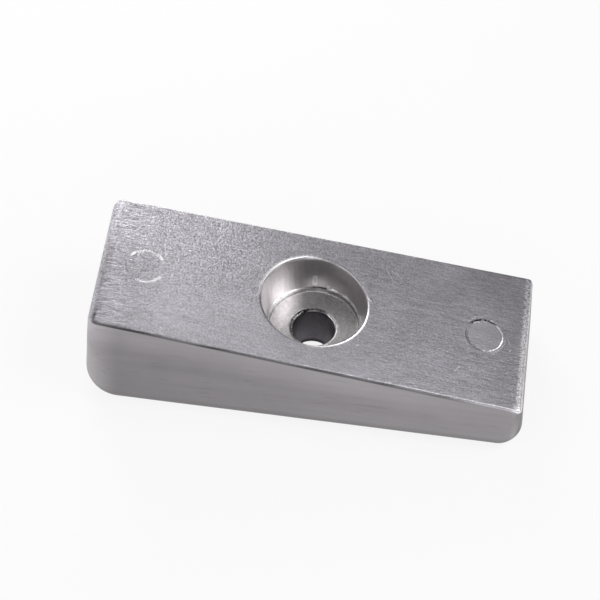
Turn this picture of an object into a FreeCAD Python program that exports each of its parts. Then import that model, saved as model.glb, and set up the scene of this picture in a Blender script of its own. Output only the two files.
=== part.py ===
import FreeCAD, Part
import math
import os

# Sacrificial anode: one cast wedge block held by a single bolt in a deep counterbore.
# Lengths are in millimetres. The flat mounting base lies at z = 0 and +Z is up, the origin
# is the middle of the base, and +X runs from the thick end to the thin end.

# Block
base_length = 70.0          # end to end where the drafted ends meet the base plane
base_width = 27.7           # side to side where the drafted sides meet the base plane
thick_end_height = 19.7     # sloping top over the foot of the thick end
thin_end_height = 10.4      # sloping top over the foot of the thin end
draft_angle = 5.2           # degrees, all four walls lean inwards going up
thick_foot_corner = 6.5     # radius of the upright corners of the thick end, at the base plane
thick_top_corner = 1.6      # same corners at the top face
thin_foot_corner = 5.0      # radius of the upright corners of the thin end, at the base plane
thin_top_corner = 0.8       # same corners at the top face
foot_radius = 3.1           # round all along the foot of the walls
top_edge_radius = 0.3       # broken edge round the top face
thick_end_roll = 1.6        # radius that the finishing belt has rolled the thick end over to
thin_end_roll = 0.9         # same at the thin end

# Bolt passage, midway along the top face
bolt_hole_diameter = 6.6    # clearance for a 6 mm bolt
hole_lip_radius = 0.5
seat_thickness = 7.9        # metal left under the bolt head
seat_diameter = 14.3        # machined seat
seat_wall_height = 0.95     # upright wall that the seat cutter has left
seat_corner_radius = 0.2
ledge_width = 0.25          # step between the seat wall and the cast wall
counterbore_draft = 8.5     # degrees, cast wall opens upwards
counterbore_rim_radius = 0.35

# Ejector pin marks on the top face
pin_diameter = 6.0
pin_inset = 7.0             # pin centre in from each end of the top face
sunken_pin_depth = 0.15     # thin end, the pin stood proud and left a shallow disc
flush_pin_groove = 0.2      # thick end, only a fine ring shows, this wide and half as deep

# Worked out from the sizes above
draft = math.tan(math.radians(draft_angle))
slope = (thin_end_height - thick_end_height) / base_length
middle_height = (thick_end_height + thin_end_height) / 2
slope_angle = math.degrees(math.atan(-slope))


def top_height(x):
    return middle_height + slope * x


def end_top(side):
    """Where the drafted end on one side (-1 thick, 1 thin) meets the sloping top."""
    x = side * (base_length / 2 - draft * middle_height) / (1 + side * slope * draft)
    return FreeCAD.Vector(x, 0, top_height(x))


def rounded_corner(before, corner, after, radius):
    """Arc that rounds a corner of an outline, as its first, middle and last point."""
    back = (before - corner).normalize()
    ahead = (after - corner).normalize()
    half_turn = back.getAngle(ahead) / 2
    inward = (back + ahead).normalize()
    centre = corner + inward * (radius / math.sin(half_turn))
    setback = radius / math.tan(half_turn)
    return corner + back * setback, centre - inward * radius, corner + ahead * setback


def prism(points, along):
    """Closed outline through the points, drawn out along a vector."""
    return Part.Face(Part.makePolygon(points + points[:1])).extrude(along)


def drafted_wedge():
    """What the side view and the end view, each drawn right through, have in common."""
    foot = base_length / 2
    thick_top = end_top(-1)
    thin_top = end_top(1)
    side_view = [FreeCAD.Vector(-foot, 0, 0), FreeCAD.Vector(foot, 0, 0), thin_top, thick_top]
    across = prism(side_view, FreeCAD.Vector(0, 2 * base_width, 0))
    across.translate(FreeCAD.Vector(0, -base_width, 0))
    lean = draft * thick_end_height
    end_view = [
        FreeCAD.Vector(-foot, -base_width / 2, 0),
        FreeCAD.Vector(-foot, base_width / 2, 0),
        FreeCAD.Vector(-foot, base_width / 2 - lean, thick_end_height),
        FreeCAD.Vector(-foot, lean - base_width / 2, thick_end_height),
    ]
    return across.common(prism(end_view, FreeCAD.Vector(base_length, 0, 0)))


def round_upright_corners(solid):
    """Round each upright edge with a radius that shrinks evenly from the base to the top."""
    corners = ((-1, thick_foot_corner, thick_top_corner), (1, thin_foot_corner, thin_top_corner))
    for end, foot, top in corners:
        for side in (-1, 1):
            base_point = FreeCAD.Vector(end * base_length / 2, side * base_width / 2, 0)
            for edge in solid.Edges:
                first, last = edge.valueAt(edge.FirstParameter), edge.valueAt(edge.LastParameter)
                if first.isEqual(base_point, 0.001) and last.z > 1:
                    solid = solid.makeFillet(foot, top, [edge])
                    break
                if last.isEqual(base_point, 0.001) and first.z > 1:
                    solid = solid.makeFillet(top, foot, [edge])
                    break
    return solid


def edges_at(solid, height):
    """Edges whose ends both lie at the height that a function gives for x."""
    return [e for e in solid.Edges if all(abs(v.Z - height(v.X)) < 0.001 for v in e.Vertexes)]


def round_edges(solid):
    solid = solid.makeFillet(foot_radius, edges_at(solid, lambda x: 0))
    return solid.makeFillet(top_edge_radius, edges_at(solid, top_height))


def end_roll(side, radius):
    """What the finishing belt takes off one end: all that lies outside a tangent arc."""
    corner = end_top(side)
    along_top = FreeCAD.Vector(-side, 0, -side * slope)
    down_end = FreeCAD.Vector(side * draft, 0, -1)
    arc = rounded_corner(corner + along_top, corner, corner + down_end, radius)
    outward = corner * 2 - arc[0] - arc[2]
    rim = [Part.Arc(*arc).toShape(), Part.makeLine(arc[2], arc[2] + outward)]
    rim.append(Part.makeLine(arc[2] + outward, arc[0] + outward))
    rim.append(Part.makeLine(arc[0] + outward, arc[0]))
    waste = Part.Face(Part.Wire(rim))
    waste.translate(FreeCAD.Vector(0, -base_width, 0))
    return waste.extrude(FreeCAD.Vector(0, 2 * base_width, 0))


def bolt_passage():
    """Hole, rounded lip, machined seat, ledge and drafted wall, as one turned shape."""
    hole = bolt_hole_diameter / 2
    seat = seat_diameter / 2
    ledge = seat_thickness + seat_wall_height
    above = 2 * thick_end_height
    mouth = seat + ledge_width + (above - ledge) * math.tan(math.radians(counterbore_draft))

    def at(radius, height):
        return FreeCAD.Vector(radius, 0, height)

    lip = rounded_corner(at(hole, 0), at(hole, seat_thickness), at(seat, seat_thickness),
                         hole_lip_radius)
    corner = rounded_corner(at(hole, seat_thickness), at(seat, seat_thickness), at(seat, ledge),
                            seat_corner_radius)
    edges = [
        Part.makeLine(at(0, -above), at(hole, -above)),
        Part.makeLine(at(hole, -above), lip[0]),
        Part.Arc(*lip).toShape(),
        Part.makeLine(lip[2], corner[0]),
        Part.Arc(*corner).toShape(),
        Part.makeLine(corner[2], at(seat, ledge)),
        Part.makeLine(at(seat, ledge), at(seat + ledge_width, ledge)),
        Part.makeLine(at(seat + ledge_width, ledge), at(mouth, above)),
        Part.makeLine(at(mouth, above), at(0, above)),
        Part.makeLine(at(0, above), at(0, -above)),
    ]
    half_section = Part.Face(Part.Wire(edges))
    passage = half_section.revolve(FreeCAD.Vector(0, 0, 0), FreeCAD.Vector(0, 0, 1), 360)
    passage.translate(FreeCAD.Vector((end_top(-1).x + end_top(1).x) / 2, 0, 0))
    return passage


def round_counterbore_rim(solid):
    """Break the edge where the drafted wall comes out through the sloping top."""
    rim = [e for e in edges_at(solid, top_height) if len(e.Vertexes) == 1]
    return solid.makeFillet(counterbore_rim_radius, rim)


def on_top_face(shape, x):
    """Stand a shape made at the origin square on the sloping top at x."""
    shape.rotate(FreeCAD.Vector(0, 0, 0), FreeCAD.Vector(0, 1, 0), slope_angle)
    shape.translate(FreeCAD.Vector(x, 0, top_height(x)))
    return shape


def pin_marks():
    """Shallow disc near the thin end and a fine ring near the thick end."""
    disc = Part.makeCylinder(pin_diameter / 2, 2 * sunken_pin_depth)
    disc.translate(FreeCAD.Vector(0, 0, -sunken_pin_depth))
    depth = flush_pin_groove / 2
    ring = Part.makeCylinder(pin_diameter / 2 + depth, 2 * depth)
    ring = ring.cut(Part.makeCylinder(pin_diameter / 2 - depth, 2 * depth))
    ring.translate(FreeCAD.Vector(0, 0, -depth))
    inset = pin_inset / math.hypot(1, slope)
    return [on_top_face(disc, end_top(1).x - inset), on_top_face(ring, end_top(-1).x + inset)]


def anode_block():
    solid = round_edges(round_upright_corners(drafted_wedge()))
    rolls = [end_roll(-1, thick_end_roll), end_roll(1, thin_end_roll)]
    solid = solid.cut(rolls + [bolt_passage()])
    solid = round_counterbore_rim(solid)
    return solid.cut(pin_marks()).Solids[0]


os.makedirs("parts", exist_ok=True)
block = anode_block()
block.exportStep("parts/anode_block.step")
print("anode_block", "valid" if block.isValid() else "not valid", round(block.Volume), "mm3")
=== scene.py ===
import math

import bmesh
import bpy
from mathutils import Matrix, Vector, noise


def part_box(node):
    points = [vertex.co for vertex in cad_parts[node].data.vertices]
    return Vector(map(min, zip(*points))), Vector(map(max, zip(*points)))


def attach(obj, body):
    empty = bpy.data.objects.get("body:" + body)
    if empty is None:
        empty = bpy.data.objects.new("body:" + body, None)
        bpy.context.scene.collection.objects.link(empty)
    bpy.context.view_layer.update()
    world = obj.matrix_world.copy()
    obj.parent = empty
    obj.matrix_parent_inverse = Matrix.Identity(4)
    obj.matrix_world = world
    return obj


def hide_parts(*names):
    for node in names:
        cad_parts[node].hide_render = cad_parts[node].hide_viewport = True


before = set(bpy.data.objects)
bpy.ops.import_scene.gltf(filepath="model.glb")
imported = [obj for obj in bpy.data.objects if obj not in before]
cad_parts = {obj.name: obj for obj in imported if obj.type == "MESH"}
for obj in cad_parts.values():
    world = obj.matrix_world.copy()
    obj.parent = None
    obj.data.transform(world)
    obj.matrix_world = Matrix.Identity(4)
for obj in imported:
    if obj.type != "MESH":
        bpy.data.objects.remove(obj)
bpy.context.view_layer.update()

print("frame loaded:", ", ".join(sorted(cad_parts)))

mm = 0.001

# Where the block's surfaces lie, in millimetres, as the frame has them
plan = {
    "topAtMiddle": 15.05,      # height of the sloping top over the middle of the base
    "topSlope": -0.13286,      # rise per millimetre towards the thin end
    "thickTopEnd": -33.23,
    "thinTopEnd": 34.04,
    "boltX": 0.407,
    "rimRadius": 8.42,
    "ledgeHeight": 8.85,
    "ledgeRadius": 7.4,
    "wallSlope": 0.1495,       # how much the bore's wall widens per millimetre of height
    "seatHeight": 7.9,
    "holeRadius": 3.3,
    "flushPinX": -26.29,
    "sunkenPinX": 27.10,
    "pinRadius": 3.0,
}


# A socket that can be used in a sum
class Value:
    def __init__(self, shader, socket):
        self.shader = shader
        self.socket = socket

    def maths(self, operation, first, second=0.0):
        return self.shader.node("ShaderNodeMath", "Value", {"operation": operation},
                                {0: first, 1: second})

    def __add__(self, other):
        return self.maths("ADD", self, other)

    def __radd__(self, other):
        return self.maths("ADD", other, self)

    def __sub__(self, other):
        return self.maths("SUBTRACT", self, other)

    def __rsub__(self, other):
        return self.maths("SUBTRACT", other, self)

    def __mul__(self, other):
        return self.maths("MULTIPLY", self, other)

    def __truediv__(self, other):
        return self.maths("DIVIDE", self, other)

    def root(self):
        return self.maths("SQRT", self)

    def size(self):
        return self.maths("ABSOLUTE", self)

    def larger(self, other):
        return self.maths("MAXIMUM", self, other)

    def smaller(self, other):
        return self.maths("MINIMUM", self, other)


# The nodes of a material or of the world
class Shader:
    def __init__(self, owner):
        self.owner = owner
        owner.use_nodes = True
        self.tree = owner.node_tree
        self.tree.nodes.clear()

    def node(self, kind, output, settings, inputs):
        made = self.tree.nodes.new(kind)
        for name, value in settings.items():
            setattr(made, name, value)
        for name, value in inputs.items():
            if isinstance(value, Value):
                self.tree.links.new(value.socket, made.inputs[name])
            else:
                made.inputs[name].default_value = value
        return Value(self, made.outputs[output]) if output is not None else None

    def place(self):
        return self.node("ShaderNodeTexCoord", "Object", {}, {})

    def axis(self, vector, name):
        return self.node("ShaderNodeSeparateXYZ", name, {}, {"Vector": vector})

    def stretched(self, vector, scale):
        return self.node("ShaderNodeMapping", "Vector", {"vector_type": "POINT"},
                         {"Vector": vector, "Scale": scale})

    def cloud(self, vector, scale, detail, rough):
        return self.node("ShaderNodeTexNoise", "Fac", {},
                         {"Vector": vector, "Scale": scale, "Detail": detail, "Roughness": rough})

    def step(self, value, low, high, toLow=0.0, toHigh=1.0):
        return self.node("ShaderNodeMapRange", "Result", {"interpolation_type": "SMOOTHSTEP"},
                         {"Value": value, "From Min": low, "From Max": high, "To Min": toLow,
                          "To Max": toHigh})

    def blend(self, factor, first, second):
        return self.node("ShaderNodeMix", 2, {"data_type": "RGBA"}, {0: factor, 6: first, 7: second})

    def toned(self, colour, tone):
        shade = self.node("ShaderNodeCombineXYZ", "Vector", {}, {0: tone, 1: tone, 2: tone})
        return self.node("ShaderNodeVectorMath", "Vector", {"operation": "MULTIPLY"},
                         {0: colour, 1: shade})

    def bump(self, height, distance, normal=None):
        inputs = {"Distance": distance, "Height": height}
        if normal:
            inputs["Normal"] = normal
        return self.node("ShaderNodeBump", "Normal", {}, inputs)

    def output(self, surface):
        self.node("ShaderNodeOutputMaterial", None, {}, {"Surface": surface})
        return self.owner


# The casting: the frame's own block, cut finely enough to give its faces some life
casting = {
    "flatAngle": 0.3,          # degrees, faces that turn by less are one face before the cuts
    "gridStep": 0.8,           # mm between cuts across the whole block
    "snap": 0.004,             # mm, a corner this near a cut isn't cut again
    "fineSpots": [             # centre, reach and step in mm, where small marks need a finer mesh
        ((-26.29, 0, 18.54), 3.8, 0.3),
        ((27.10, 0, 11.45), 3.8, 0.3),
        ((8.7, 2.35, 13.9), 0.8, 0.12),
        ((2.2, 7.4, 8.9), 0.8, 0.12),
        ((28.1, 2.9, 11.3), 0.6, 0.1),
        ((-0.44, 7.55, 10.1), 0.9, 0.12),
    ],
    "touches": [               # centre, reach and lift in mm: burrs stand out, nicks go in
        ((8.75, 2.35, 13.9), 0.45, 0.10),
        ((2.2, 7.3, 8.85), 0.55, 0.20),
        ((1.6, 7.5, 8.85), 0.35, 0.08),
        ((28.13, 2.87, 11.3), 0.35, -0.25),
        ((-0.45, 7.60, 10.4), 0.34, 0.10),
        ((-0.43, 7.50, 9.9), 0.34, 0.10),
    ],
    "touchLumps": 9000,        # lumps per metre in a burr or a nick
    "baseSkin": 0.02,          # mm, points nearer to the base than this stay
    "topSkin": 0.3,            # mm, points nearer to the top than this belong to it
    "wallWave": 0.06,          # mm, deepest hollow in the as-cast walls
    "wallWaveLength": 9.0,
    "fineWaveLength": 2.5,
    "wallFade": 3.0,           # mm above the base over which the hollows set in
    "edgeFade": 1.5,           # same under the top
    "topWave": 0.02,           # mm, unevenness that the belt has left on the top
    "topWaveLength": 11.0,
    "topWaveStretch": 3.0,
    "rimFade": 3.0,            # mm round the bore's rim over which it sets in
    "ringReach": 0.4,          # mm past the flush pin's radius that its ring covers
    "ringPull": 0.7,           # how far the ring's points are drawn to its middle
    "ringOpen": 190,           # degrees, where the ring is still a groove
    "ringSpan": 0.5,           # cosine of half the angle over which it is one
    "ringBreaks": 1.6,         # how often it deepens and fades there
    "ringFill": 0.7,           # how much of the groove's depth is gone on average
    "ringDepth": 1.2,
    "discSlant": 0.13,         # mm, how far the sunken disc's wall leans in
    "holeDraft": 0.25,         # mm, how much nearer to its middle the hole's wall is at the base
    "sharpAngle": 35,          # degrees, edges that turn by more stay crisp
    "normalWeight": 80,
}


def topHeight(x):
    return plan["topAtMiddle"] + plan["topSlope"] * x


def sliceMesh(bm, low, high, step, within=None):
    faces = [face for face in bm.faces if within(face)] if within else []
    parts = faces + list({edge for face in faces for edge in face.edges})
    parts += list({vert for face in faces for vert in face.verts})
    for axis in range(3):
        normal = Vector((0, 0, 0))
        normal[axis] = 1
        count = int((high[axis] - low[axis]) / step)
        for index in range(1, count + 1):
            cut = low.lerp(high, index / (count + 1))
            if not within:
                parts = bm.verts[:] + bm.edges[:] + bm.faces[:]
            done = bmesh.ops.bisect_plane(bm, geom=parts, dist=casting["snap"] * mm, plane_co=cut,
                                          plane_no=normal)
            if within:
                parts = list(dict.fromkeys(done["geom"] + done["geom_cut"]))


def nearTo(centre, reach):
    spot = Vector(centre) * mm
    return lambda face: (face.calc_center_median() - spot).length < reach * mm


topNormal = Vector((-plan["topSlope"], 0, 1)).normalized()


def nearPin(x, y, pinX):
    across = (x - pinX) * math.hypot(1, plan["topSlope"])
    return math.hypot(across, y), math.atan2(y, across)


# How far a point by a pin mark goes inwards, in which direction, and how far it rises
def pinEdge(x, y, below):
    sunk = 0.03 < below < casting["topSkin"]
    spread, turn = nearPin(x, y, plan["flushPinX"])
    if sunk and spread < plan["pinRadius"] + casting["ringReach"]:
        around = Vector((math.cos(turn), math.sin(turn), 0.3)) * casting["ringBreaks"]
        fill = casting["ringFill"] + casting["ringDepth"] * noise.noise(around)
        facing = max(0, math.cos(turn - math.radians(casting["ringOpen"])) - casting["ringSpan"])
        inward = (spread - plan["pinRadius"]) * casting["ringPull"]
        return inward, turn, below * (1 - facing * min(1, max(0, fill)))
    spread, turn = nearPin(x, y, plan["sunkenPinX"])
    if sunk and plan["pinRadius"] - 0.05 < spread < plan["pinRadius"] + 0.1:
        return casting["discSlant"], turn, 0
    return 0, 0, 0


def touchMove(spot, normal):
    for centre, reach, lift in casting["touches"]:
        gap = (spot / mm - Vector(centre)).length / reach
        if gap < 1:
            lumps = 0.7 + 0.6 * noise.noise(spot * casting["touchLumps"])
            return normal * (lift * (1 - gap * gap) ** 2 * lumps)
    return None


def holeMove(x, y, z, radius):
    narrow = casting["holeDraft"] * (1 - z / plan["seatHeight"]) / radius
    return Vector((plan["boltX"] - x, -y, 0)) * narrow


# The belt's unevenness goes straight down, under the pin marks too
def topMove(x, y, below, radius):
    stretch = casting["topWaveStretch"]
    wave = noise.noise(Vector((x / stretch, y, 7)) / casting["topWaveLength"] * stretch)
    away = min(1, (radius - plan["rimRadius"]) / casting["rimFade"])
    inward, turn, rise = pinEdge(x, y, below)
    aside = Vector((math.cos(turn), math.sin(turn), plan["topSlope"] * math.cos(turn))) * -inward
    return topNormal * (rise - casting["topWave"] * away * (0.5 + 0.5 * wave)) + aside


def wallMove(x, y, z, below, normal):
    wave = noise.noise(Vector((x, y, z)) / casting["wallWaveLength"])
    fine = noise.noise(Vector((x, y, z + 40)) / casting["fineWaveLength"])
    fade = min(1, z / casting["wallFade"])
    fade *= min(1, (below - casting["topSkin"]) / casting["edgeFade"])
    return normal * (-casting["wallWave"] * fade * (0.5 + 0.4 * wave + 0.1 * fine))


def settle(spot, normal):
    x, y, z = spot / mm
    below = topHeight(x) - z
    radius = math.hypot(x - plan["boltX"], y)
    touched = touchMove(spot, normal)
    if touched:
        return touched
    if radius < plan["holeRadius"] + 0.01:
        return holeMove(x, y, z, radius)
    if z < casting["baseSkin"] or radius < plan["rimRadius"] + casting["topSkin"] and below > -0.1:
        return Vector()
    if below < casting["topSkin"]:
        return topMove(x, y, below, radius)
    return wallMove(x, y, z, below, normal)


def makeCasting():
    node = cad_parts["anode_block"]
    bm = bmesh.new()
    bm.from_mesh(node.data)
    bmesh.ops.remove_doubles(bm, verts=bm.verts[:], dist=1e-6)
    bmesh.ops.dissolve_limit(bm, angle_limit=math.radians(casting["flatAngle"]),
                             use_dissolve_boundaries=False, verts=bm.verts[:], edges=bm.edges[:],
                             delimit=set())
    low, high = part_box("anode_block")
    sliceMesh(bm, Vector(low), Vector(high), casting["gridStep"] * mm)
    for centre, reach, step in casting["fineSpots"]:
        corner = Vector((reach, reach, reach))
        sliceMesh(bm, (Vector(centre) - corner) * mm, (Vector(centre) + corner) * mm, step * mm,
                  nearTo(centre, reach))
    bm.normal_update()
    moves = [(vert, settle(vert.co, vert.normal) * mm) for vert in bm.verts]
    for vert, move in moves:
        vert.co += move
    for face in bm.faces:
        face.smooth = True
    for edge in bm.edges:
        edge.smooth = edge.calc_face_angle(0) < math.radians(casting["sharpAngle"])
    mesh = bpy.data.meshes.new("casting")
    bm.to_mesh(mesh)
    bm.free()
    piece = bpy.data.objects.new("casting", mesh)
    bpy.context.scene.collection.objects.link(piece)
    weighted = piece.modifiers.new("weighted", "WEIGHTED_NORMAL")
    weighted.keep_sharp = True
    weighted.weight = casting["normalWeight"]
    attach(piece, "root")
    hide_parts("anode_block")
    print("casting:", len(mesh.polygons), "faces")
    return piece


# The metal: bare, blasted and belt-ground on top, as cast below and machined in the bore
metal = {
    "topColour": (0.618, 0.598, 0.643, 1),
    "wallColour": (0.286, 0.270, 0.282, 1),
    "boreColour": (0.715, 0.690, 0.698, 1),
    # the hole's colour is darkened as painted shade, standing for the shade deep in the hole
    "holeShadeColour": (0.134, 0.127, 0.142, 1),
    "topRoughness": 0.40,
    "wallRoughness": 0.37,
    "boreRoughness": 0.30,
    "holeRoughness": 0.25,     # added to the roughness round it, as are the next two
    "rollRoughness": 0.20,
    "mottleRoughness": 0.12,
    "grainHeight": 0.00006,    # metres
    "skinHeight": 0.00002,
    # scale per metre, detail, roughness and stretch; low scales along X draw a cloud out to lines
    "clouds": {
        "grain": (3100, 3.0, 0.65, (1, 1, 1)),
        "fine": (5200, 1.0, 0.5, (1, 1, 1)),
        "speck": (3300, 1.0, 0.5, (1, 1, 1)),
        "hair": (3300, 2.0, 0.6, (0.12, 1, 1)),
        "nicks": (5000, 1.0, 0.6, (0.3, 1, 1)),
        "streak": (1500, 2.0, 0.5, (0.02, 1, 1)),
        "drift": (110, 3.0, 0.6, (0.4, 1, 1)),
        "drag": (900, 2.0, 0.5, (0.05, 1, 1)),
        "dashes": (1400, 1.0, 0.5, (0.14, 1, 1)),
        "upright": (1300, 2.0, 0.5, (1, 1, 0.08)),
        "mottle": (170, 3.0, 0.55, (1, 1, 1)),
        "lumps": (1000, 2.0, 0.5, (1, 1, 1)),
    },
    # where a cloud turns from nothing to full, and the two levels where these aren't 0 and 1
    "contrast": {
        "grain": (0.39, 0.61),
        "speck": (0.68, 0.75),
        "hair": (0.36, 0.64),
        "nicks": (0.40, 0.60),
        "dashes": (0.64, 0.74),
        "lumps": (0.38, 0.62, 0.3, 1.8),
    },
    # zones: what is measured in mm, where the zone is out and where it is full, and the two
    # levels where these aren't 0 and 1
    "zones": {
        "bore": [("wallGap", 0.10, 0.02), ("z", 0.5, 1.0)],
        "seat": [("overLedge", 0.1, -0.1)],
        "seatWall": [("radius", 7.02, 7.12)],
        "seatBack": [("y", 1.0, 4.0), ("boltX", -3.0, 0.0)],
        "ledge": [("offLedge", 0.12, 0.04)],
        "backWall": [("y", 6, 7)],
        "hole": [("offHole", 0.18, 0.02)],
        "rim": [("below", 0.6, 0.4)],
        "disc": [("offDisc", 0.0, -0.2)],
        "thickEnd": [("inThick", 9, 1)],
        "thickRoll": [("inThick", 2.2, 1.1)],
        "rollCorner": [("y", -12.2, -10.8)],
        "rollShadow": [("inThick", 0.3, 0.9), ("y", 11, -3, 0.35, 1.0),
                       ("y", -12.4, -10.6, 0.3, 1.0)],
        "thinEnd": [("inThin", 2.0, 0.7)],
        "thinRoll": [("inThin", 0.95, 0.75)],
        "rollLight": [("inThin", 1.35, 0.60), ("inThin", -0.02, 0.22), ("y", 11, -2, 0.5, 1.0)],
        "rollOutline": [("inThin", 0.12, -0.03)],
        "coarseAlong": [("x", 28, -18, 0.5, 1.2)],
        "coarseAcross": [("y", -12, 5, 0.6, 1.1)],
        "coarsePatch": [("x", 6, 18), ("y", 2, -4)],
        "linesAlong": [("x", 0, 12, 0.35, 0.55)],
        "paleFront": [("y", 2, -7), ("x", 28, 14)],
        "leftFront": [("x", -20, -30), ("y", 8, -1)],
        "rightEnd": [("x", 24, 31)],
        "behindBore": [("x", -17, -8), ("x", 11, 2), ("y", 4, 9)],
        "underEdge": [("below", 6.5, 1.2), ("y", -8, -10), ("x", 34, 6, 0.1, 1.0)],
        "thickCorner": [("x", -28, -33.5), ("y", -6, -10)],
        "thinCorner": [("x", 32.3, 34.8), ("y", -7, -9.5)],
        "thinWall": [("inThin", 0.15, -0.1)],
        "foot": [("z", 3.6, 1.2)],
        "base": [("z", 0.05, 0.01)],
        # the front edge's painted shade and the painted highlight on its worn end
        "frontEdge": [("y", -9, -11), ("below", 0.02, 0.14), ("below", 0.80, 0.45),
                      ("inThick", 0.3, 1.2)],
        "dullEdge": [("x", 29, 19)],
        "wornEdge": [("x", 31, 33.5)],
        "tip": [("offTip", 1.1, 0.2)],
    },
    "wornSheenTip": (33.2, -12.3),  # x and y of the front edge's worn end, where a highlight is painted
    # gains of the top
    "topLevel": 1.06,
    "topFloor": 0.06,          # darkest that its marks can make it
    "grainTone": 0.36,
    "fineTone": 0.75,
    "speckTone": 0.70,
    "hairTone": 0.34,
    "nickTone": 0.45,
    "driftTone": 0.18,
    "streakTone": 0.35,
    "endStreakTone": 0.30,     # added at the thick end
    "coarseTone": -0.10,
    "paleTone": 0.07,
    "discTone": 0.12,
    "discSmooth": 0.6,         # how much of the texture the sunken pin has pressed flat
    "patchCoarse": 0.30,
    "endSmooth": 0.3,
    "endLines": 0.7,
    "nickHeight": 0.8,
    "topShades": {"leftFront": -0.20, "rightEnd": -0.12, "behindBore": -0.10},
    "rollShade": 0.45,         # how much darker the thick end's roll is
    "rollShine": 0.95,         # how much brighter the thin end's roll is
    "outlineShade": 0.5,
    # gains of the walls
    "wallLevel": 0.76,
    "dragTone": 0.18,
    "mottleTone": 0.21,
    "alongTone": 0.004,        # per mm towards the thin end
    "wallGrainTone": 0.12,
    "dashTone": 0.09,
    "upperShine": 0.29,        # how much brighter the front wall is just under its edge
    "cornerShine": 0.52,       # how much brighter the thick end's front corner is
    "cornerShade": 0.58,       # how much darker the thin end's front corner is
    "footShade": 0.68,         # how much darker the walls are at their foot
    "endShade": 0.45,          # how much darker the thin end is
    "edgeShade": 0.92,         # how much painted shade darkens the front edge
    "edgeShine": 0.45,         # how much brighter its worn end is, a painted highlight
    # gains of the bore
    "boreLevel": 0.86,
    "boreMottle": 0.16,
    "uprightTone": 0.25,
    "boreGrain": 0.04,
    "seatGrain": 0.16,
    "seatWallShade": 0.25,
    "seatBackShade": 0.15,
    "marks": [                 # small scratches on the top: two ends, half width, gain
        ((-29.3, 6.0), (-27.0, 5.6), 0.09, 0.45),
        ((-28.2, 4.9), (-27.4, 4.8), 0.07, 0.30),
        ((10.9, 8.5), (12.1, 6.7), 0.12, 0.40),
        ((12.1, 9.0), (13.3, 7.4), 0.11, 0.45),
        ((11.4, 8.9), (12.6, 8.0), 0.10, 0.38),
        ((7.7, -6.8), (7.9, -6.5), 0.16, 0.55),
        ((15.9, -5.1), (16.2, -4.9), 0.18, 0.45),
        ((18.9, -4.7), (19.9, -5.0), 0.09, 0.40),
        ((23.1, -7.8), (23.8, -6.7), 0.10, 0.75),
        ((30.8, 0.4), (31.3, -0.9), 0.14, 0.50),
        ((31.3, -0.9), (32.7, -1.2), 0.10, 0.35),
        ((31.3, -2.0), (31.4, -1.9), 0.14, 0.90),
    ],
    # painted highlights and painted shade on round edges: radius, half width, direction, half angle,
    # gain
    "flushArcs": [
        (3.02, 0.26, 108, 48, 1.25),
        (3.06, 0.34, 50, 16, 1.60),
        (2.90, 0.24, 282, 40, 1.00),
        (2.95, 0.28, 322, 24, 1.10),
        (3.00, 0.12, 185, 26, -0.20),
    ],
    "sunkenArcs": [
        (2.98, 0.20, 100, 60, -1.00),
        (2.96, 0.24, 315, 44, 1.30),
        (3.36, 0.15, 325, 40, 0.60),
        (3.05, 0.16, 15, 44, 0.55),
        (2.84, 0.46, 212, 52, -0.55),
        (3.08, 0.16, 205, 60, 0.35),
        (3.55, 0.25, 118, 30, 0.30),
    ],
    "rimArcs": [               # these and the next two are round the bolt, here by the wall's gap
        (0.22, 0.34, 140, 52, 1.00),
        (0.22, 0.26, 314, 52, 0.90),
        (0.16, 0.20, 207, 24, -0.35),
        (0.16, 0.20, 62, 30, -0.30),
    ],
    "ledgeArcs": [
        (7.28, 0.22, 158, 46, 0.70),
        (7.28, 0.22, 88, 20, -0.25),
        (7.28, 0.22, 40, 44, 0.60),
    ],
    "lipArcs": [
        (3.52, 0.32, 34, 26, 3.00),
        (3.62, 0.40, 172, 70, -0.62),
        (3.62, 0.34, 100, 44, -0.50),
        (3.98, 0.14, 138, 22, 0.45),
    ],
    "smearGlints": [                # painted highlights on smears and burrs of the bore's back wall: x, half width, from and to in height, gain
        (-0.42, 0.44, 9.2, 11.4, 1.50),
        (1.85, 0.34, 8.6, 9.6, 2.00),
        (2.75, 0.85, 8.7, 9.3, 1.30),
    ],
    "smearFade": 0.3,          # mm
}


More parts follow.
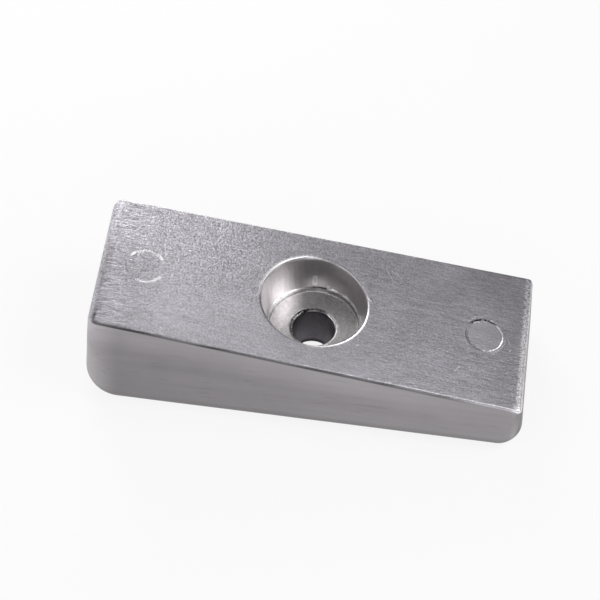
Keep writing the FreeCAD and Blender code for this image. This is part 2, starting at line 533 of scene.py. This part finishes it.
# A spot of the surface: what is measured there in mm, the zones it lies in and the clouds over it
class Spot:
    def __init__(self, shader):
        self.shader = shader
        self.made = {}
        self.vector = shader.place()
        x, y, z = [shader.axis(self.vector, name) / mm for name in "XYZ"]
        self.boltX = x - plan["boltX"]
        self.radius = (self.boltX * self.boltX + y * y).root()
        self.pinX = (x - plan["sunkenPinX"]) * math.hypot(1, plan["topSlope"])
        self.pinSpread = (self.pinX * self.pinX + y * y).root()
        self.x, self.y, self.z = x, y, z
        tipX, tipY = metal["wornSheenTip"]
        overLedge = z - plan["ledgeHeight"]
        self.measures = {
            "x": x,
            "y": y,
            "z": z,
            "below": plan["topAtMiddle"] + x * plan["topSlope"] - z,
            "boltX": self.boltX,
            "radius": self.radius,
            "wallGap": self.radius - plan["ledgeRadius"] - overLedge * plan["wallSlope"],
            "overLedge": overLedge,
            "offLedge": overLedge.size(),
            "offHole": self.radius - plan["holeRadius"],
            "offDisc": self.pinSpread - plan["pinRadius"],
            "offTip": ((x - tipX) * (x - tipX) + (y - tipY) * (y - tipY)).root(),
            "inThick": x - plan["thickTopEnd"],
            "inThin": plan["thinTopEnd"] - x,
        }

    def kept(self, name, make):        # made once, however often it is used
        if name not in self.made:
            self.made[name] = make()
        return self.made[name]

    def zone(self, name):
        def make():
            (measure, *fade), *others = metal["zones"][name]
            inside = self.shader.step(self.measures[measure], *fade)
            for measure, *fade in others:
                inside = inside * self.shader.step(self.measures[measure], *fade)
            return inside
        return self.kept("zone " + name, make)

    def cloud(self, name):
        def make():
            scale, detail, rough, stretch = metal["clouds"][name]
            return self.shader.cloud(self.shader.stretched(self.vector, stretch), scale, detail, rough)
        return self.kept("cloud " + name, make)

    def crisp(self, name):
        return self.kept("crisp " + name,
                         lambda: self.shader.step(self.cloud(name), *metal["contrast"][name]))

    def onSeat(self):
        return self.zone("seat") * self.zone("bore")

    def onTop(self):           # full on the top face, and down over its rolled ends
        def make():
            roll = self.zone("thinRoll") * 0.15 + self.zone("thickRoll") * self.zone("rollCorner")
            depth = self.measures["below"] - 0.22 - roll
            return self.shader.step(depth, 0.25, -0.05) * (1 - self.zone("bore"))
        return self.kept("onTop", make)

    def strokes(self):         # one soft line for each mark, added up
        total = 0
        for (fromX, fromY), (toX, toY), width, gain in metal["marks"]:
            runX, runY = toX - fromX, toY - fromY
            length = runX * runX + runY * runY
            along = (self.x - fromX) * (runX / length) + (self.y - fromY) * (runY / length)
            along = along.larger(0).smaller(1)
            offX = self.x - fromX - along * runX
            offY = self.y - fromY - along * runY
            off = (offX * offX + offY * offY).root()
            total = self.shader.step(off, width, width * 0.3) * gain + total
        return total

    def arcs(self, rows, offX, spread, gap):   # one soft crescent of painted highlight or shade for each stretch, added up
        total = 0
        for radius, width, turn, half, gain in metal[rows]:
            turn, half = math.radians(turn), math.radians(half)
            facing = (offX * math.cos(turn) + self.y * math.sin(turn)) / spread
            ends = self.shader.step(facing, math.cos(half), math.cos(half * 0.55))
            total = self.shader.step((gap - radius).size(), width, width * 0.35) * ends * gain + total
        return total

    def boltArcs(self, rows, gap):
        return self.arcs(rows, self.boltX, self.radius, gap)

    def flushArcs(self):
        offX = (self.x - plan["flushPinX"]) * math.hypot(1, plan["topSlope"])
        spread = (offX * offX + self.y * self.y).root()
        return self.arcs("flushArcs", offX, spread, spread)

    def sunkenArcs(self):
        return self.arcs("sunkenArcs", self.pinX, self.pinSpread, self.pinSpread)


def coarseness(at):            # how grainy the top is
    coarse = at.zone("coarseAlong") * at.zone("coarseAcross")
    coarse = coarse + at.zone("coarsePatch") * metal["patchCoarse"]
    return coarse * (1 - at.zone("thickEnd") * metal["endSmooth"])


def lininess(at):              # how much of the belt's lines it shows
    lines = at.zone("linesAlong") + at.zone("thickEnd")
    return lines * (1 - at.zone("thinEnd") * metal["endLines"])


def topTexture(at, coarse, lines):
    return ((at.crisp("grain") - 0.5) * coarse * metal["grainTone"]
            + (at.cloud("fine") - 0.5) * coarse * metal["fineTone"]
            + (at.crisp("hair") - 0.5) * lines * metal["hairTone"]
            + at.crisp("speck") * coarse * metal["speckTone"]
            + (at.crisp("nicks") - 0.5) * at.zone("thinEnd") * metal["nickTone"])


def topTone(at, coarse, lines):
    streakTone = at.zone("thickEnd") * metal["endStreakTone"] + metal["streakTone"]
    tone = (coarse * metal["coarseTone"] + metal["topLevel"]
            + at.zone("paleFront") * metal["paleTone"]
            + (1 - at.zone("disc") * metal["discSmooth"]) * topTexture(at, coarse, lines)
            + (at.cloud("drift") - 0.5) * metal["driftTone"]
            + (at.cloud("streak") - 0.5) * streakTone
            + at.zone("disc") * metal["discTone"]
            + at.strokes() * (0.4 + at.cloud("grain") * 1.2)
            # painted highlights and shade round the pin marks
            + (at.flushArcs() + at.sunkenArcs()) * (0.3 + at.crisp("grain")))
    shadow = at.zone("thickRoll") * at.zone("rollShadow") * metal["rollShade"]
    tone = tone.larger(metal["topFloor"]) * (1 - shadow)
    shades = 1
    for zone, gain in metal["topShades"].items():
        shades = at.zone(zone) * gain + shades
    light = at.zone("rollLight") * (0.6 + at.crisp("nicks") * 0.8) * metal["rollShine"]
    return tone * shades * (1 + light) * (1 - at.zone("rollOutline") * metal["outlineShade"])


def wallTone(at):
    tone = (at.cloud("drag") * metal["dragTone"] + metal["wallLevel"]
            + at.cloud("mottle") * metal["mottleTone"]
            + at.x * metal["alongTone"]
            + (at.cloud("grain") - 0.5) * metal["wallGrainTone"]
            - at.crisp("dashes") * metal["dashTone"]
            + at.zone("underEdge") * metal["upperShine"])
    tone = tone * (1 + at.zone("thickCorner") * metal["cornerShine"]
                   - at.zone("thinCorner") * metal["cornerShade"])
    tone = tone * (1 - at.zone("foot") * metal["footShade"]).larger(at.zone("base"))
    return tone * (1 - at.zone("thinWall") * metal["endShade"])


def smearGlints(at):                # one soft painted highlight for each smear, added up
    total = 0
    s, fade = at.shader, metal["smearFade"]
    for x, width, low, high, gain in metal["smearGlints"]:
        smear = s.step((at.x - x).size(), width, width * 0.1) * at.zone("backWall")
        smear = smear * s.step(at.z, low, low + fade) * s.step(at.z, high, high - fade)
        total = smear * gain + total
    return total


def boreTone(at):
    onSeat = at.onSeat()
    crisp = at.crisp("grain")
    return (at.cloud("mottle") * metal["boreMottle"] + metal["boreLevel"]
            + (at.cloud("upright") - 0.5) * metal["uprightTone"]
            + (crisp - 0.5) * (onSeat * metal["seatGrain"] + metal["boreGrain"])
            - onSeat * at.zone("seatWall") * metal["seatWallShade"]
            - onSeat * at.zone("seatBack") * metal["seatBackShade"]
            # painted highlights and shade on the ledge and round the hole's lip
            + at.boltArcs("ledgeArcs", at.radius) * at.zone("ledge") * at.crisp("lumps")
            + at.boltArcs("lipArcs", at.radius) * onSeat * (0.5 + crisp)
            + smearGlints(at))


def edgeTone(at):              # painted shade along the front edge, a painted highlight on its worn end, and painted highlights and shade round the rim
    edge = at.zone("frontEdge")
    edgeShadow = edge * at.zone("dullEdge") * (0.80 + (at.cloud("drag") - 0.5) * 1.2)
    wearSheen = at.zone("tip") + edge * at.zone("wornEdge")
    # painted highlights and shade round the bore's rim
    rim = at.boltArcs("rimArcs", at.measures["wallGap"]) * at.zone("rim")
    return 1 - edgeShadow * metal["edgeShade"] + rim + wearSheen * metal["edgeShine"]


def makeMetal():
    s = Shader(bpy.data.materials.new("anodeMetal"))
    at = Spot(s)
    onTop = at.onTop()
    inBore = at.zone("bore")
    inHole = at.zone("hole")
    coarse = coarseness(at)
    lines = lininess(at)

    tint = s.blend(inBore, metal["wallColour"], metal["boreColour"])
    tint = s.blend(inHole, s.blend(onTop, tint, metal["topColour"]), metal["holeShadeColour"])
    sides = wallTone(at)
    sides = inBore * (boreTone(at) - sides) + sides
    tone = onTop * (topTone(at, coarse, lines) - sides) + sides

    roughness = (onTop * (metal["topRoughness"] - metal["wallRoughness"])
                 + inBore * (metal["boreRoughness"] - metal["wallRoughness"])
                 + metal["wallRoughness"]
                 + (at.cloud("mottle") - 0.5) * metal["mottleRoughness"]
                 + inHole * metal["holeRoughness"]
                 + at.zone("thickRoll") * onTop * metal["rollRoughness"])
    grit = (at.cloud("grain") * coarse + at.cloud("hair") * lines
            + at.cloud("nicks") * at.zone("thinEnd") * metal["nickHeight"])
    skin = (at.cloud("drag") * 0.4 + at.cloud("mottle")
            + (at.cloud("upright") + at.crisp("grain") * 0.4) * inBore)
    normal = s.bump(grit * onTop, metal["grainHeight"])
    normal = s.bump(skin * (1 - onTop), metal["skinHeight"], normal)
    return s.output(s.node("ShaderNodeBsdfPrincipled", "BSDF", {}, {
        "Base Color": s.toned(tint, tone * edgeTone(at)),
        "Metallic": 1.0,
        "Roughness": roughness,
        "Normal": normal,
    }))


block = makeCasting()
block.data.materials.clear()
block.data.materials.append(makeMetal())
print("metal")

studio = {
    "floorSize": 3.0,
    "floorColour": (0.82, 0.82, 0.82, 1),
    "floorGap": 0.00002,       # metres, keeps the floor out of the plane of the block's base
    "worldLight": 0.02,
    "whiteness": 0.87,
    "lampAway": 0.26,          # metres from the middle of the base
    "lampSide": 0.14,
    # each lamp: direction round the block and lift above the floor in degrees, and how bright
    "lamps": {
        "right": (0, 52, 4.3),
        "rightLow": (0, 20, 0.9),
        "back": (112, 20, 4.9),
        "backHigh": (120, 35, 2.7),
        "backLeft": (135, 20, 0.9),
        "left": (200, 20, 2.7),
        "frontLeft": (230, 20, 2.0),
        "front": (270, 35, 2.1),
        "frontHigh": (340, 52, 0.7),
        "above": (90, 72, 0.5),
        "aboveLeft": (180, 72, 0.3),
    },
}


# Matt paper that shows as white, keeps the block's shadow and isn't there from beneath
def makeFloor():
    bm = bmesh.new()
    bmesh.ops.create_grid(bm, x_segments=1, y_segments=1, size=studio["floorSize"])
    mesh = bpy.data.meshes.new("floor")
    bm.to_mesh(mesh)
    bm.free()
    floor = bpy.data.objects.new("floor", mesh)
    bpy.context.scene.collection.objects.link(floor)
    s = Shader(bpy.data.materials.new("floorPaper"))
    paper = s.node("ShaderNodeBsdfDiffuse", "BSDF", {}, {"Color": studio["floorColour"]})
    glow = s.node("ShaderNodeEmission", "Emission", {}, {"Color": (1, 1, 1, 1), "Strength": 1.0})
    seen = [s.node("ShaderNodeLightPath", ray, {}, {})
            for ray in ("Is Camera Ray", "Is Glossy Ray", "Is Transmission Ray")]
    shown = seen[0].larger(seen[1]).larger(seen[2]) * studio["whiteness"]
    above = s.node("ShaderNodeMixShader", 0, {}, {0: shown, 1: paper, 2: glow})
    beneath = s.node("ShaderNodeNewGeometry", "Backfacing", {}, {})
    clear = s.node("ShaderNodeBsdfTransparent", "BSDF", {}, {})
    mesh.materials.append(
        s.output(s.node("ShaderNodeMixShader", 0, {}, {0: beneath, 1: above, 2: clear})))
    floor.location.z = -studio["floorGap"]


makeFloor()
print("floor")


def makeWorld():
    world = bpy.data.worlds.new("studio")
    bpy.context.scene.world = world
    s = Shader(world)
    seen = s.node("ShaderNodeLightPath", "Is Camera Ray", {}, {})
    level = s.node("ShaderNodeMapRange", "Result", {}, {
        "Value": seen,
        "To Min": studio["worldLight"],
        "To Max": studio["whiteness"],
    })
    back = s.node("ShaderNodeBackground", "Background", {},
                  {"Color": (1, 1, 1, 1), "Strength": level})
    s.node("ShaderNodeOutputWorld", None, {}, {"Surface": back})


makeWorld()
print("world")


def makeLamp(name, turn, lift, glow):
    side = studio["lampSide"]
    data = bpy.data.lights.new(name, "AREA")
    data.shape = "RECTANGLE"
    data.size, data.size_y = side, side
    data.energy = glow * math.pi * side * side
    lamp = bpy.data.objects.new(name, data)
    bpy.context.scene.collection.objects.link(lamp)
    turn, lift = math.radians(turn), math.radians(lift)
    ray = Vector((math.cos(turn) * math.cos(lift), math.sin(turn) * math.cos(lift), math.sin(lift)))
    lamp.location = ray * studio["lampAway"]
    lamp.rotation_euler = ray.to_track_quat("Z", "Y").to_euler()
    lamp.visible_camera = False


for lampName, settings in studio["lamps"].items():
    makeLamp(lampName, *settings)
print("lamps:", len(studio["lamps"]))

lens = {
    "spot": (0.015044, -0.200848, 0.286891),
    "turn": (36.4885, -1.8588, 7.3629),
    "length": 130.63,
    "sensor": 36,
    "nearest": 0.01,
}


def makeCamera():
    data = bpy.data.cameras.new("camera")
    data.sensor_width = lens["sensor"]
    data.lens = lens["length"]
    data.clip_start = lens["nearest"]
    camera = bpy.data.objects.new("camera", data)
    camera.location = lens["spot"]
    camera.rotation_euler = [math.radians(angle) for angle in lens["turn"]]
    bpy.context.scene.collection.objects.link(camera)
    bpy.context.scene.camera = camera


makeCamera()
bpy.context.scene.view_settings.view_transform = "Standard"
print("camera")
